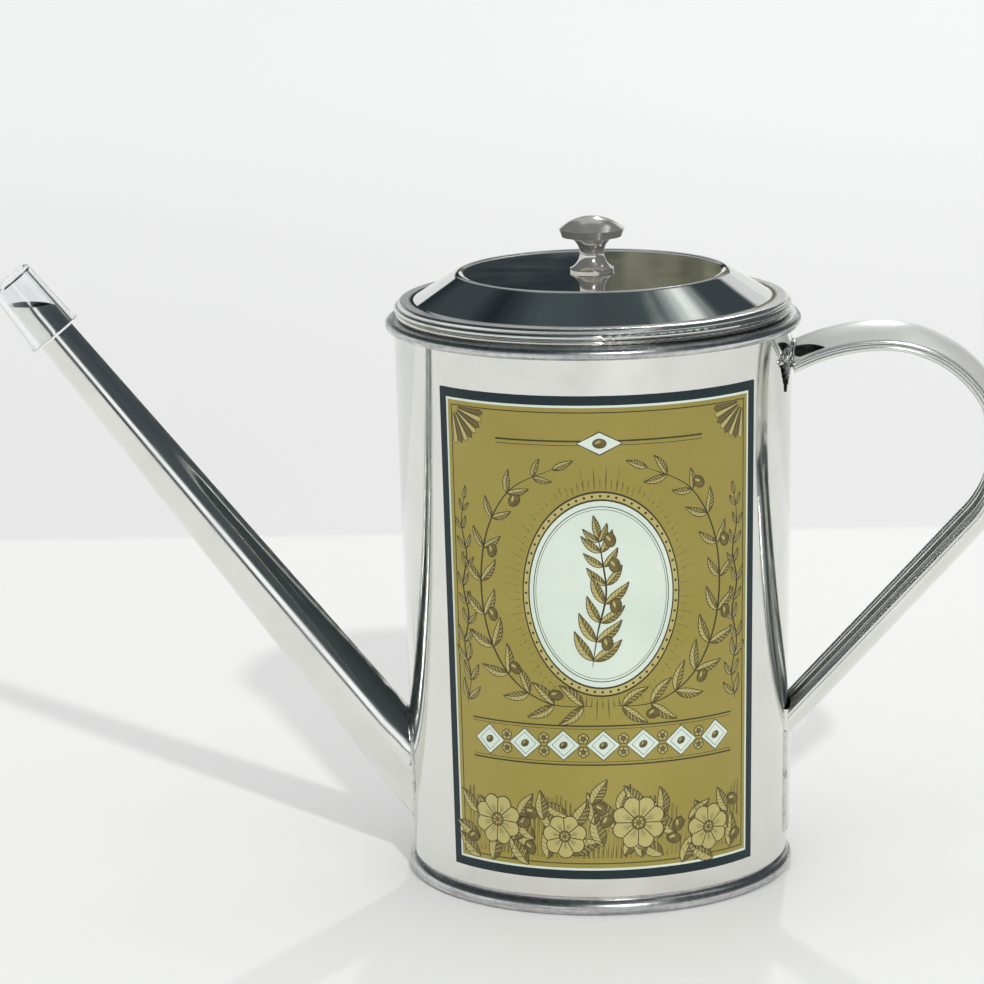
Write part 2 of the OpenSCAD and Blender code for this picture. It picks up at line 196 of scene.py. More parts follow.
# The lid's rim: the roughness it adds, and over which distance
RIM_ROUGH = 0.17
RIM_EDGE = 0.0008
# The way the cap is pulled, and how deep the pale band of its cut end reaches
CAP_AXIS = Vector((-0.613588, 0, 0.789626))
CAP_END = (0.0004, 0.0006)


def radius_of(s, place):
    """Distance from the can's axis."""
    x, y = s.split(place)[:2]
    return s.math("SQRT", s.plus(s.times(x, x), s.times(y, y)))


def polished(name, grain, wave=0.35, low_rough=0.05, high_rough=0.13, painted_top_within=None):
    """Mirror sheet metal: long waves from rolling, a faint grain along "grain" and wiped smudges. With
    painted_top_within, a painted reflection makes the up-facing top paler and duller, up to that distance
    from the XZ plane."""
    s = Shader(name)
    place = s.place()
    waves = s.noise(place, scale=22.0, detail=1.5, rough=0.4)
    lines = s.noise(s.stretched(place, grain), scale=900.0, detail=4.0, rough=0.6)
    smudge = s.noise(place, scale=60.0, detail=6.0, rough=0.62)
    rough = s.span(smudge, 0.35, 0.75, low_rough, high_rough)
    colour = s.blend(s.span(smudge, 0.45, 0.8), STEEL, STEEL_WORN)
    normal = s.bump(lines, 0.006, 0.00002, s.bump(waves, wave, 0.0006))
    metal = 1.0
    if painted_top_within:
        # Painted reflection: where the strap faces up, it takes less mirror and more roughness, so its top
        # shows paler.
        side, height = s.split(place)[1:3]
        facing_up = s.split(s.node("NewGeometry").outputs["Normal"])[2]
        near, far = painted_top_within + PAINTED_TOP_EDGE[0], painted_top_within + PAINTED_TOP_EDGE[1]
        painted_top = s.span(s.math("ABSOLUTE", side), near, far, 1.0, 0.0, smooth=True)
        painted_top = s.times(painted_top, s.span(facing_up, -0.05, 0.1, smooth=True))
        painted_top = s.times(painted_top, s.span(height, *PAINTED_TOP_HEIGHTS, smooth=True))
        metal = s.math("SUBTRACT", 1.0, s.times(painted_top, PAINTED_TOP_SPREAD))
        rough = s.plus(rough, s.times(painted_top, PAINTED_TOP_ROUGH))
    return s.surface(Base_Color=colour, Metallic=metal, Roughness=rough, Normal=normal)


def spun(name, colour, worn, low_rough, high_rough, metal=1.0, rim=None):
    """Metal pressed or turned round the can's axis: fine rings and wiped smudges, duller outside the radius
    "rim"."""
    s = Shader(name)
    place = s.place()
    radius = radius_of(s, place)
    across = s.plus(s.times(radius, 1800.0), s.times(s.split(place)[2], 1300.0))
    rings = s.node("TexNoise", {"noise_dimensions": "1D"}, W=across, Scale=1.0, Detail=4.0).outputs["Fac"]
    waves = s.noise(place, scale=30.0, detail=1.0)
    smudge = s.noise(place, scale=75.0, detail=6.0, rough=0.62)
    rough = s.span(s.plus(smudge, s.times(rings, 0.25)), 0.45, 0.95, low_rough, high_rough)
    if rim:
        rough = s.plus(rough, s.span(radius, rim, rim + RIM_EDGE, 0.0, RIM_ROUGH))
    tint = s.blend(s.span(smudge, 0.4, 0.8), colour, worn)
    normal = s.bump(rings, 0.008, 0.00002, s.bump(waves, 0.06, 0.0005))
    return s.surface(Base_Color=tint, Metallic=metal, Roughness=rough, Normal=normal)


def satin(name, colour, worn):
    """Duller rolled edge: rubbed along its length, with darker specks."""
    s = Shader(name)
    place = s.place()
    rubbed = s.noise(s.stretched(place, (1, 1, 14)), scale=60.0, detail=5.0, rough=0.6)
    specks = s.noise(place, scale=420.0, detail=3.0, rough=0.7)
    tint = s.blend(s.span(s.plus(rubbed, s.times(specks, 0.5)), 0.6, 0.95), colour, worn)
    rough = s.span(rubbed, 0.3, 0.7, 0.2, 0.38)
    return s.surface(Base_Color=tint, Metallic=1.0, Roughness=rough, Normal=s.bump(specks, 0.12, 0.00004))


def solder_metal(name, clean, burnt, low, high):
    """Lumpy solder: clean, and burnt with flux where the noise passes from low to high."""
    s = Shader(name)
    place = s.place()
    lumps = s.noise(place, scale=420.0, detail=4.0, rough=0.6)
    flux = s.noise(place, scale=260.0, detail=4.0, rough=0.6)
    tint = s.blend(s.span(flux, low, high, smooth=True), clean, burnt)
    rough = s.span(flux, 0.35, 0.65, 0.16, 0.4)
    return s.surface(Base_Color=tint, Metallic=1.0, Roughness=rough, Normal=s.bump(lumps, 0.35, 0.0002))


def clear_plastic(cap):
    """Clear moulded plastic with faint rub marks; its cut end is paler and rougher."""
    end = min(v.co.dot(CAP_AXIS) for v in cap.data.vertices)
    band = (end + CAP_END[0], end + CAP_END[1])
    s = Shader("clear_plastic")
    place = s.place()
    rubs = s.noise(place, scale=500.0, detail=5.0, rough=0.65)
    along = s.vector_math("DOT_PRODUCT", place, tuple(CAP_AXIS))
    rough = s.math("MAXIMUM", s.span(rubs, 0.45, 0.75, 0.02, 0.09), s.span(along, *band, 0.5, 0.0))
    normal = s.bump(s.noise(place, scale=120.0, detail=2.0), 0.15, 0.0002)
    return s.surface(Base_Color=rgb(0.97, 0.985, 0.99), Roughness=rough, Normal=normal, IOR=1.45,
                     Transmission_Weight=s.span(along, *band, 0.25, 1.0))


def print_ink(name, colour, faded, metal=0.0):
    """Glossy printed coat: ink that thins a little from place to place."""
    s = Shader(name)
    place = s.place()
    patches = s.noise(place, scale=45.0, detail=4.0, rough=0.6)
    grain = s.noise(place, scale=2600.0, detail=2.0, rough=0.6)
    share = s.span(s.plus(patches, s.times(grain, 0.4)), 0.55, 0.95)
    rough = s.span(patches, 0.3, 0.7, 0.34, 0.46)
    return s.surface(Base_Color=s.blend(share, colour, faded), Roughness=rough, Metallic=metal,
                     Specular_IOR_Level=0.3, Normal=s.bump(grain, 0.1, 0.00003))


def dress_nodes():
    """Gives each carried-over CAD node its finish."""
    sheet = polished("steel_wall", grain=(1, 1, 0.04))
    tube = polished("steel_tube", grain=(1, 1, 0.05), wave=0.06, low_rough=0.09, high_rough=0.16)
    strap = polished("steel_strap", grain=(0.05, 1, 0.05), wave=0.12, low_rough=0.13, high_rough=0.2,
                     painted_top_within=0.0098)
    edge = satin("steel_edge", rgb(0.7, 0.705, 0.7), rgb(0.36, 0.365, 0.37))
    lid = spun("steel_lid", STEEL, STEEL_WORN, low_rough=0.035, high_rough=0.08, rim=0.0478)
    knob = spun("steel_knob", rgb(0.74, 0.71, 0.66), rgb(0.62, 0.59, 0.54), low_rough=0.12, high_rough=0.2,
                metal=0.8)
    plated = spun("plated_fastener", rgb(0.62, 0.62, 0.6), rgb(0.42, 0.42, 0.41), low_rough=0.2,
                  high_rough=0.35)
    finishes = {
        "can_wall": sheet, "rim_ring": edge, "base_pan": edge, "spout_tube": tube, "handle_strap": strap,
        "lid_shell": lid, "lid_collar": lid, "lid_knob": knob, "knob_washer": plated, "knob_screw": plated,
        "spout_cap": clear_plastic(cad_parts["spout_cap"]),
    }
    bright = solder_metal("solder_bright", rgb(0.7, 0.7, 0.68), rgb(0.3, 0.3, 0.28), 0.5, 0.7)
    dark = solder_metal("solder_dark", rgb(0.09, 0.09, 0.085), rgb(0.022, 0.022, 0.02), 0.35, 0.6)
    finishes.update({name: bright for name in ("spout_joint", "handle_top_joint", "handle_foot_joint")})
    for name, finish in finishes.items():
        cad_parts[name].material_slots[0].material = finish
    return strap, bright, dark


def place_mesh(name, bm, material):
    """Turns a bmesh into an object of the scene."""
    mesh = bpy.data.meshes.new(name)
    bm.to_mesh(mesh)
    bm.free()
    mesh.materials.append(material)
    made = bpy.data.objects.new(name, mesh)
    bpy.context.scene.collection.objects.link(made)
    return made


def add_piece(name, bm, material, body):
    """Turns a bmesh into a piece that rides on a body."""
    piece = place_mesh(name, bm, material)
    for face in piece.data.polygons:
        face.use_smooth = True
    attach(piece, body)
    return piece


# Printed panel. Its drawing is made flat, in millimetres: u runs right from its middle, v up from its foot.
# A shape's level says what it is printed over: each level lies a hair further off the wall.
PANEL_MIDDLE = math.radians(1.3)
PANEL_W = 89.9
PANEL_H = (label_high.z - label_low.z) / MM
PANEL_R = (wall_r(label_low.z) + wall_r(label_high.z)) / 2 / MM
PRINT_LIFT = 0.16
LEVEL_STEP = 0.012
CELL = 1.3
CELL_ROUNDS = 7
FIELD_IN = 3.0


def on_panel(u, v, level):
    """The point on the can for a point of the drawing, and the way that the can faces there."""
    z = label_low.z + v * MM
    around = PANEL_MIDDLE + u / PANEL_R
    r = wall_r(z) + (PRINT_LIFT + level * LEVEL_STEP) * MM
    out = Vector((math.sin(around), -math.cos(around), -WALL_LEAN)).normalized()
    return Vector((r * math.sin(around), -r * math.cos(around), z)), out


class Ink:
    """Everything printed in one colour, gathered flat and laid on the can at the end."""

    def __init__(self, name, colour, faded, metal=0.0):
        self.name, self.colour, self.faded, self.metal = name, colour, faded, metal
        self.bm = bmesh.new()

    def fill(self, outline, level):
        """A closed shape from its outline's points. Where the outline folds back, a face can come twice and
        is left out."""
        corners = [self.bm.verts.new((u, v, level)) for u, v in outline]
        for face in geometry.tessellate_polygon([[Vector((u, v, 0)) for u, v in outline]]):
            try:
                self.bm.faces.new([corners[i] for i in face])
            except ValueError:
                pass

    def stroke(self, line, width, level, taper=False):
        """A line of a given width. With taper it thins at both ends."""
        rails = []
        last = len(line) - 1
        for i, (u, v) in enumerate(line):
            before, after = line[max(i - 1, 0)], line[min(i + 1, last)]
            du, dv = after[0] - before[0], after[1] - before[1]
            size = math.hypot(du, dv) or 1.0
            half = width / 2 * (0.25 + 0.75 * math.sin(math.pi * i / last) if taper else 1.0)
            nu, nv = -dv / size * half, du / size * half
            rails.append([self.bm.verts.new((u + side * nu, v + side * nv, level)) for side in (1, -1)])
        for (a, b), (c, d) in zip(rails, rails[1:]):
            self.bm.faces.new((a, b, d, c))

    def lay(self):
        """Cuts the shapes fine enough to bend, and lays them on the can."""
        bm = self.bm
        for _ in range(CELL_ROUNDS):
            long = [e for e in bm.edges if abs(e.verts[0].co.x - e.verts[1].co.x) > CELL]
            if not long:
                break
            bmesh.ops.subdivide_edges(bm, edges=long, cuts=1)
            bmesh.ops.triangulate(bm, faces=bm.faces)
        facing = []
        for vert in bm.verts:
            vert.co, out = on_panel(*vert.co)
            facing.append(out)
        bm.normal_update()
        for face in bm.faces:
            if face.normal.dot(facing[face.verts[0].index]) < 0:
                face.normal_flip()
        material = print_ink(self.name, self.colour, self.faded, self.metal)
        piece = add_piece(self.name, bm, material, "can")
        piece.data.normals_split_custom_set_from_vertices(facing)
        return piece


def polar(middle, way, a, b=None):
    """Point of a circle, or of an ellipse with half axes a and b, at the angle "way"."""
    return middle[0] + a * math.cos(way), middle[1] + (a if b is None else b) * math.sin(way)


def ring(middle, a, b, turn, count):
    """Points of an ellipse with half axes a and b."""
    cos_t, sin_t = math.cos(turn), math.sin(turn)
    points = []
    for i in range(count):
        x, y = a * math.cos(math.tau * i / count), b * math.sin(math.tau * i / count)
        points.append((middle[0] + x * cos_t - y * sin_t, middle[1] + x * sin_t + y * cos_t))
    return points


def closed(points):
    """The points with their first two again, so that a line along them has no gap."""
    return points + points[:2]


def lozenge(u, v, a, b):
    return [(u - a, v), (u, v - b), (u + a, v), (u, v + b)]


def curve_through(knots, count=8):
    """Smooth line through the knots."""
    ends = [knots[0]] + list(knots) + [knots[-1]]
    line = []
    for a, b, c, d in zip(ends, ends[1:], ends[2:], ends[3:]):
        for i in range(count):
            t = i / count
            line.append(tuple(0.5 * (2 * q + (r - p) * t + (2 * p - 5 * q + 4 * r - s) * t * t
                                     + (3 * q - p - 3 * r + s) * t ** 3)
                              for p, q, r, s in zip(a, b, c, d)))
    return line + [knots[-1]]


class Page:
    """The panel's drawing: its inks, and the motifs drawn with them."""

    def __init__(self):
        self.border = Ink("panel_border", rgb(0.007, 0.019, 0.024), rgb(0.012, 0.027, 0.033))
        self.field = Ink("panel_field", rgb(0.36, 0.3, 0.075), rgb(0.41, 0.34, 0.1), 0.6)
        self.leaf = Ink("panel_leaf", rgb(0.47, 0.41, 0.15), rgb(0.52, 0.46, 0.19), 0.3)
        self.shade = Ink("panel_shade", rgb(0.135, 0.105, 0.03), rgb(0.17, 0.135, 0.04))
        self.mint = Ink("panel_mint", rgb(0.60, 0.70, 0.61), rgb(0.68, 0.76, 0.67))
        self.line = Ink("panel_line", rgb(0.035, 0.032, 0.014), rgb(0.06, 0.052, 0.022))
        self.chance = random.Random(11)

    def leaf_shape(self, base, angle, length, width, bend, level):
        """A leaf with one side shaded, its midrib, side veins and outline."""
        steps, veins = 8, 4
        u, v = base
        mid, left, right = [], [], []
        for i in range(steps + 1):
            t = i / steps
            way = angle + bend * (t - 0.3)
            half = width / 2 * math.sin(math.pi * t ** 0.8) + 0.03
            mid.append((u, v))
            left.append((u - math.sin(way) * half, v + math.cos(way) * half))
            right.append((u + math.sin(way) * half, v - math.cos(way) * half))
            u += math.cos(way) * length / steps
            v += math.sin(way) * length / steps
        self.leaf.fill(left + mid[::-1], level)
        self.shade.fill(mid + right[::-1], level)
        for edge in (left, right):
            self.line.stroke(edge, 0.2, level + 1)
        self.line.stroke(mid, 0.18, level + 1, taper=True)
        for i in range(veins):
            k = 2 + i * (steps - 3) // veins
            root, tip = mid[k], left[min(k + 1, steps)]
            half_way = ((root[0] + tip[0]) / 2, (root[1] + tip[1]) / 2 + 0.05)
            self.line.stroke([root, half_way, tip], 0.1, level + 1)
            tip = right[min(k + 1, steps)]
            near = (root[0] * 0.3 + tip[0] * 0.7, root[1] * 0.3 + tip[1] * 0.7)
            self.leaf.stroke([root, near, tip], 0.16, level + 1)

    def fruit(self, middle, a, b, turn, level):
        """An olive: dark outline, a lit side and hatching on the other."""
        outline = ring(middle, a, b, turn, 20)
        self.shade.fill(outline, level)
        self.line.stroke(closed(outline), 0.2, level + 1)
        shine = (middle[0] - 0.3 * b, middle[1] + 0.3 * b)
        self.leaf.fill(ring(shine, a * 0.45, b * 0.22, turn + 0.5, 12), level + 1)
        for k in (0.25, 0.5, 0.75):
            arc = [(middle[0] + (u - middle[0]) * k, middle[1] + (v - middle[1]) * k)
                   for u, v in outline[11:19]]
            self.line.stroke(arc, 0.12, level + 1, taper=True)

    def blossom(self, middle, r, petals, level, turn):
        """A flower of rounded petals round a beaded middle."""
        ways = [turn + math.tau * i / petals for i in range(petals)]
        wide = 0.9 * r * math.sin(math.pi / petals)
        for ink, grow, up in ((self.line, 0.25, 0), (self.leaf, 0.0, 1)):
            for way in ways:
                petal = ring(polar(middle, way, 0.58 * r), 0.44 * r + grow, wide + grow, way, 18)
                ink.fill(petal, level + up)
        for way in ways:
            for off in (-0.24, 0.0, 0.24):
                line = [polar(middle, way + off * k, k * r) for k in (0.25, 0.5, 0.72 - abs(off) * 0.4)]
                self.line.stroke(line, 0.12, level + 2, taper=True)
            gap = way + math.pi / petals
            self.line.stroke([polar(middle, gap, k * r) for k in (0.2, 0.5, 0.82)], 0.26, level + 2)
        core = ring(middle, 0.27 * r, 0.27 * r, 0, 18)
        self.shade.fill(core, level + 3)
        self.line.stroke(closed(core), 0.18, level + 4)
        for i in range(7):
            bead = polar(middle, math.tau * i / 7, 0.15 * r)
            self.leaf.fill(ring(bead, 0.045 * r, 0.045 * r, 0, 8), level + 4)

    def branch(self, knots, leaf_size, level, every, fruit_every, spread=0.75):
        """A twig with leaves on both sides and olives between them. The two "every" values count points of
        the twig, and pairs of leaves."""
        stem = curve_through(knots)
        self.line.stroke(stem, 0.5, level, taper=True)
        last = len(stem) - 1
        pairs = 0
        for i in range(2, last, every):
            du, dv = stem[min(i + 1, last)][0] - stem[i - 1][0], stem[min(i + 1, last)][1] - stem[i - 1][1]
            along = math.atan2(dv, du)
            size = leaf_size * (1.0 - 0.4 * i / last) * self.chance.uniform(0.9, 1.12)
            for side in (1, -1):
                way = along + side * spread * self.chance.uniform(0.85, 1.15)
                self.leaf_shape(stem[i], way, size, size * 0.3, -side * 0.5, level + 1 + (side > 0))
            pairs += 1
            if fruit_every and pairs % fruit_every == 0:
                side = 1 if pairs % 2 else -1
                off = leaf_size * 0.3
                at = (stem[i][0] - math.sin(along) * off * side, stem[i][1] + math.cos(along) * off * side)
                self.fruit(at, leaf_size * 0.2, leaf_size * 0.15, along, level + 4)
        way = math.atan2(stem[-1][1] - stem[-3][1], stem[-1][0] - stem[-3][0])
        self.leaf_shape(stem[-1], way, leaf_size * 0.65, leaf_size * 0.2, 0.1, level + 2)

    def box(self, inset):
        """Corners of a rectangle centred on the panel, set in from its edges."""
        u, v = PANEL_W / 2 - inset, PANEL_H - inset
        return [(-u, inset), (u, inset), (u, v), (-u, v)]

    def frame(self, ink, inset, width, level):
        """A rectangular line round the panel."""
        outer, inner = self.box(inset), self.box(inset + width)
        for i in range(4):
            j = (i + 1) % 4
            ink.fill([outer[i], outer[j], inner[j], inner[i]], level)

    def rule(self, v, half, width):
        self.line.stroke([(-half, v), (half, v)], width, 2)

    def medallion(self, middle, a, b):
        """Mint oval in a beaded ring, with rays round it and a sprig on it."""
        for i in range(96):
            way = math.tau * i / 96
            ray = [polar(middle, way, k * a, k * b) for k in (1.12, 1.2, 1.36 if i % 2 else 1.24)]
            self.shade.stroke(ray, 0.42 if i % 2 else 0.3, 1, taper=True)
        for ink, size, level in ((self.line, 1.105, 2), (self.leaf, 1.085, 3), (self.line, 1.02, 4),
                                 (self.mint, 1.0, 5)):
            ink.fill(ring(middle, a * size, b * size, 0, 72), level)
        for i in range(60):
            bead = polar(middle, math.tau * i / 60, 1.053 * a, 1.053 * b)
            self.line.fill(ring(bead, 0.36, 0.36, 0, 8), 4)
        for size, width in ((0.94, 0.22), (0.91, 0.12)):
            self.line.stroke(closed(ring(middle, a * size, b * size, 0, 72)), width, 6)
        u, v = middle
        self.branch([(u - 2.5, v - 0.78 * b), (u - 1.0, v - 0.4 * b), (u + 1.2, v), (u + 0.3, v + 0.38 * b),
                     (u - 0.6, v + 0.6 * b)], 9.5, 7, every=4, fruit_every=2)

    def frieze(self, v, half_height):
        """Row of mint lozenges between double rules."""
        half_length, step, beside = 36.5, 10.4, 5.2
        for side in (1, -1):
            self.rule(v + side * half_height, half_length, 0.4)
            self.rule(v + side * (half_height - 0.8), half_length, 0.14)
        for i in range(-3, 4):
            u = i * step
            for ink, grow, level in ((self.line, 0.3, 2), (self.mint, 0.0, 3)):
                ink.fill(lozenge(u, v, 4.3 + grow, half_height - 1.35 + grow), level)
            self.line.stroke(closed(lozenge(u, v, 3.0, half_height - 2.3)), 0.14, 4)
            self.fruit((u, v), 1.1, 0.8, 0.6, 5)
            if i < 3:
                self.blossom((u + beside, v + 0.55 * half_height - 1.1), 1.25, 5, 3, 0.3)
                self.blossom((u + beside, v - 0.55 * half_height + 1.1), 1.25, 5, 3, 0.9)

    def fan(self, corner, side_u, side_v, r):
        """Quarter fan in a corner of the field."""
        for i in range(8):
            low, high = math.pi / 2 * i / 8, math.pi / 2 * (i + 1) / 8
            shape = ((0.2, low), (0.96, low + 0.02), (1.04, (low + high) / 2), (0.96, high - 0.02),
                     (0.2, high))
            blade = [polar(corner, way, side_u * r * k, side_v * r * k) for k, way in shape]
            (self.leaf if i % 2 else self.shade).fill(blade, 2)
            self.line.stroke(blade, 0.2, 3)

    def hedge(self):
        """Dense leaves, blossoms and olives along the foot of the panel."""
        for i in range(64):
            u = -38.8 + i * 77.6 / 63
            top = 17.5 + 4.5 * math.cos(math.tau * i / 21) + self.chance.uniform(-0.8, 0.8)
            self.shade.stroke([(u, 5.6), (u + 0.2, top * 0.6), (u + 0.5, top)], 0.62, 1)
        rows = ((8.0, 9.6, 2, 15), (14.0, 9.0, 4, 14), (19.5, 8.0, 6, 12))
        for low, size, level, count in rows:
            for i in range(count):
                u = -36.0 + i * 72.0 / (count - 1) + self.chance.uniform(-0.8, 0.8)
                v = low + self.chance.uniform(-1.4, 1.4) + 2.5 * math.cos(u / 9.0)
                lean = math.pi / 2 + 0.9 * math.sin(1.9 * i + low) + self.chance.uniform(-0.3, 0.3)
                self.leaf_shape((u, v - 2.5), lean, size, size * 0.42, self.chance.uniform(-0.6, 0.6),
                                level + (i % 2))
        blossoms = ((-29.5, 14.5, 6.6, 8), (-10.5, 11.5, 5.6, 7), (9.0, 15.0, 6.9, 8), (29.0, 11.5, 6.0, 7))
        for u, v, r, petals in blossoms:
            self.blossom((u, v), r, petals, 9, u)
        olives = ((-19.5, 17.5), (-21.6, 14.6), (-1.0, 19.0), (0.6, 15.6), (18.6, 10.0), (20.0, 13.6),
                  (37.2, 17.6), (-37.6, 8.6), (-20.0, 8.0), (38.0, 8.0))
        for u, v in olives:
            self.fruit((u, v), 1.9, 1.45, u, 10)

    def draw(self):
        """The whole panel. All places are millimetres of the drawing, given one by one."""
        self.border.fill(self.box(0), 0)
        self.field.fill(self.box(FIELD_IN), 1)
        self.frame(self.mint, FIELD_IN - 0.6, 0.6, 1)
        self.frame(self.line, FIELD_IN + 1.1, 0.28, 2)
        edge_u, edge_v = PANEL_W / 2 - 4.6, PANEL_H - 4.6
        for side in (1, -1):
            self.fan((side * edge_u, edge_v), -side, -1, 9.5)
        self.rule(116.0, 27.0, 0.45)
        self.rule(114.9, 27.0, 0.16)
        for ink, grow, level in ((self.line, 0.35, 3), (self.mint, 0.0, 4)):
            points = [(-5.5 - grow, 115.4), (0, 112.6 - grow), (5.5 + grow, 115.4), (0, 118.2 + grow)]
            ink.fill(points, level)
        self.fruit((0, 115.4), 1.7, 1.2, 0.0, 5)
        self.medallion((0, 76.0), 18.5, 24.5)
        wreath = ((3, 46.5), (14, 47.0), (24, 53.0), (30.5, 64.0), (32.5, 78.0), (30.0, 92.0),
                  (23.0, 103.0), (12.0, 108.6))
        vine = ((38.2, 44.5), (36.8, 52.0), (38.6, 60.0), (36.9, 68.0), (38.5, 76.0), (37.0, 84.0),
                (38.4, 92.0), (37.4, 99.0))
        for side in (1, -1):
            self.branch([(side * u, v) for u, v in wreath], 9.0, 2, every=5, fruit_every=2)
            self.branch([(side * u, v) for u, v in vine], 5.4, 2, every=5, fruit_every=0, spread=0.6)
        self.frieze(36.0, 5.2)
        self.hedge()


def make_panel():
    page = Page()
    page.draw()
    inks = (page.border, page.field, page.leaf, page.shade, page.mint, page.line)
    pieces = [ink.lay() for ink in inks]
    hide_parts("label")


# Handle: the strap as it is formed, with rounded folds and rolled hems. The numbers repeat the CAD's, in
# millimetres: middle (x, z) and radius of each of its three bends, then its straight run.
TOP_BEND = (75.5, 90.8, 52.0)
OUTER_BEND = (75.5, 110.8, 32.0)
LOW_BEND = (81.0, 110.8, 26.5)
LOW_TURN = 43.2
HALF_W = 10.0
CROWN = 3.8
SHEET = 0.8
HEM_DROP = 1.9
HEM_R = 0.75
FOLD = 1.3
CROWN_POINTS = 17
FOLD_POINTS = 6
TOP_END_Z = 137
LOW_END_Z = 40
TOP_END_CUT = 1.6
TAIL_LOW = 10.2
TAIL_LIFT = SHEET + 0.03
TAIL_COLUMNS = [-8.0 + i * 2.0 for i in range(9)]
HALVINGS = 30


def wall_mm(z):
    return wall_r(z * MM) / MM


# How far the strap's top bend runs past the vertical before it meets the wall
TOP_START = math.asin((TOP_BEND[0] - wall_mm(TOP_END_Z)) / TOP_BEND[2])


def strap_stations():
    """Points along the strap's line of edges, each with its outward way and its way ahead."""
    def ways(turn):
        out = Vector((math.cos(turn), 0, math.sin(turn)))
        return out, Vector((out.z, 0, -out.x))

    stations = []
    bends = ((TOP_BEND, 90 + math.degrees(TOP_START), 90, 16), (OUTER_BEND, 90, 0, 34),
             (LOW_BEND, 0, -LOW_TURN, 18))
    for (x, z, r), a, b, count in bends:
        for i in range(count):
            out, ahead = ways(math.radians(a + (b - a) * i / count))
            stations.append((Vector((x, 0, z)) + r * out, out, ahead))
    out, ahead = ways(math.radians(-LOW_TURN))
    place = Vector((LOW_BEND[0], 0, LOW_BEND[1])) + LOW_BEND[2] * out
    run = (place.x - wall_mm(LOW_END_Z)) / -ahead.x
    steps = 24
    for i in range(steps + 1):
        stations.append((place + ahead * (run * i / steps), out, ahead))
    return stations


def strap_half():
    """Half the outline (outward, across): crown, rounded fold, upright edge, rolled hem, and back inside."""
    half = []
    for i in range(CROWN_POINTS):
        y = (HALF_W - FOLD) * i / (CROWN_POINTS - 1)
        half.append((CROWN * (1 - (y / HALF_W) ** 2), y))
    rise, y0 = half[-1]
    slope = math.atan2(2 * CROWN * y0 / HALF_W ** 2, 1)
    a, b, c = (rise, y0), (rise - 0.75 * FOLD * math.tan(slope), HALF_W - 0.05), (-0.7, HALF_W)
    for i in range(1, FOLD_POINTS + 1):
        t = i / FOLD_POINTS
        half.append(tuple((1 - t) ** 2 * p + 2 * t * (1 - t) * q + t * t * r for p, q, r in zip(a, b, c)))
    half.append((-HEM_DROP + 0.55, HALF_W - 0.02))
    half.append((-HEM_DROP + 0.42, HALF_W - 0.16))
    for i in range(15):
        turn = math.radians(60 - 300 * i / 14)
        half.append((-HEM_DROP + HEM_R * math.sin(turn), HALF_W - HEM_R + 0.02 + HEM_R * math.cos(turn)))
    half.append((-0.6, HALF_W - SHEET))
    for i in range(33):
        y = (HALF_W - SHEET) * (1 - i / 32)
        half.append((CROWN * (1 - (y / HALF_W) ** 2) - SHEET, y))
    return half


def strap_section():
    """The whole closed outline."""
    half = strap_half()
    return half + [(s, -y) for s, y in half[-2:0:-1]]


def last_inside(reach, is_outside):
    """The distance, between minus and plus "reach", at which is_outside turns true."""
    low, high = -reach, reach
    for _ in range(HALVINGS):
        middle = (low + high) / 2
        if is_outside(middle):
            high = middle
        else:
            low = middle
    return low


def to_wall(point, ahead, sink=0.1):
    """Slides a point along a way until it meets the can's wall."""
    reach = 14.0
    outward = (point + ahead * reach).x > (point - ahead * reach).x

    def past_wall(distance):
        at = point + ahead * distance
        return (math.hypot(at.x, at.y) > wall_mm(at.z) - sink) == outward

    return point + ahead * last_inside(reach, past_wall)


def strap_rings(section):
    stations = strap_stations()
    rings = [[place + out * s + Vector((0, y, 0)) for s, y in section] for place, out, _ in stations]
    first, last = stations[0][2], stations[-1][2]
    for i, (s, _) in enumerate(section):
        rings[0][i] = to_wall(rings[0][i], first) + first * (TOP_END_CUT if s < 0.2 else 0.0)
    rings[-1] = [to_wall(p, last) for p in rings[-1]]
    return rings


def mesh_rows(rows, loop=False):
    """Quads between neighbouring rows of points given in millimetres."""
    bm = bmesh.new()
    verts = [[bm.verts.new(p * MM) for p in row] for row in rows]
    for a, b in zip(verts, verts[1:]):
        count = len(a)
        for i in range(count if loop else count - 1):
            bm.faces.new((a[i], a[(i + 1) % count], b[(i + 1) % count], b[i]))
    return bm, verts


def on_wall(y, z, lift):
    """Point on the handle's side of the wall, "lift" off it."""
    r = wall_mm(z) + lift
    return Vector((math.sqrt(r * r - y * y), y, z))


def make_strap(finish):
    bm, verts = mesh_rows(strap_rings(strap_section()), loop=True)
    for ring_verts in (verts[0], verts[-1]):
        bm.faces.new(ring_verts)
    bmesh.ops.recalc_face_normals(bm, faces=bm.faces)
    strap = add_piece("handle_strap_formed", bm, finish, "can")
    strap.data.set_sharp_from_angle(angle=math.radians(38))
    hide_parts("handle_strap")
    make_tail(finish)


def make_tail(finish):
    """The strap's tail, laid flat on the wall. Its edge is given as distance in from the rim, and lift."""
    edge = ((0.0, -0.1), (0.0, 0.5), (0.25, SHEET), (0.8, TAIL_LIFT))
    lines = [(-HALF_W + inset, lift) for inset, lift in edge]
    lines += [(y, TAIL_LIFT) for y in TAIL_COLUMNS]
    lines += [(HALF_W - inset, lift) for inset, lift in reversed(edge)]
    heights = [(TAIL_LOW + inset, lift) for inset, lift in edge]
    heights += [(TAIL_LOW + 3 + i * 3.4, 1.0) for i in range(10)]
    bm = mesh_rows([[on_wall(y, z, min(a, b)) for y, a in lines] for z, b in heights])[0]
    bmesh.ops.recalc_face_normals(bm, faces=bm.faces)
    tail = add_piece("handle_tail", bm, finish, "can")
    tail.data.set_sharp_from_angle(angle=math.radians(50))


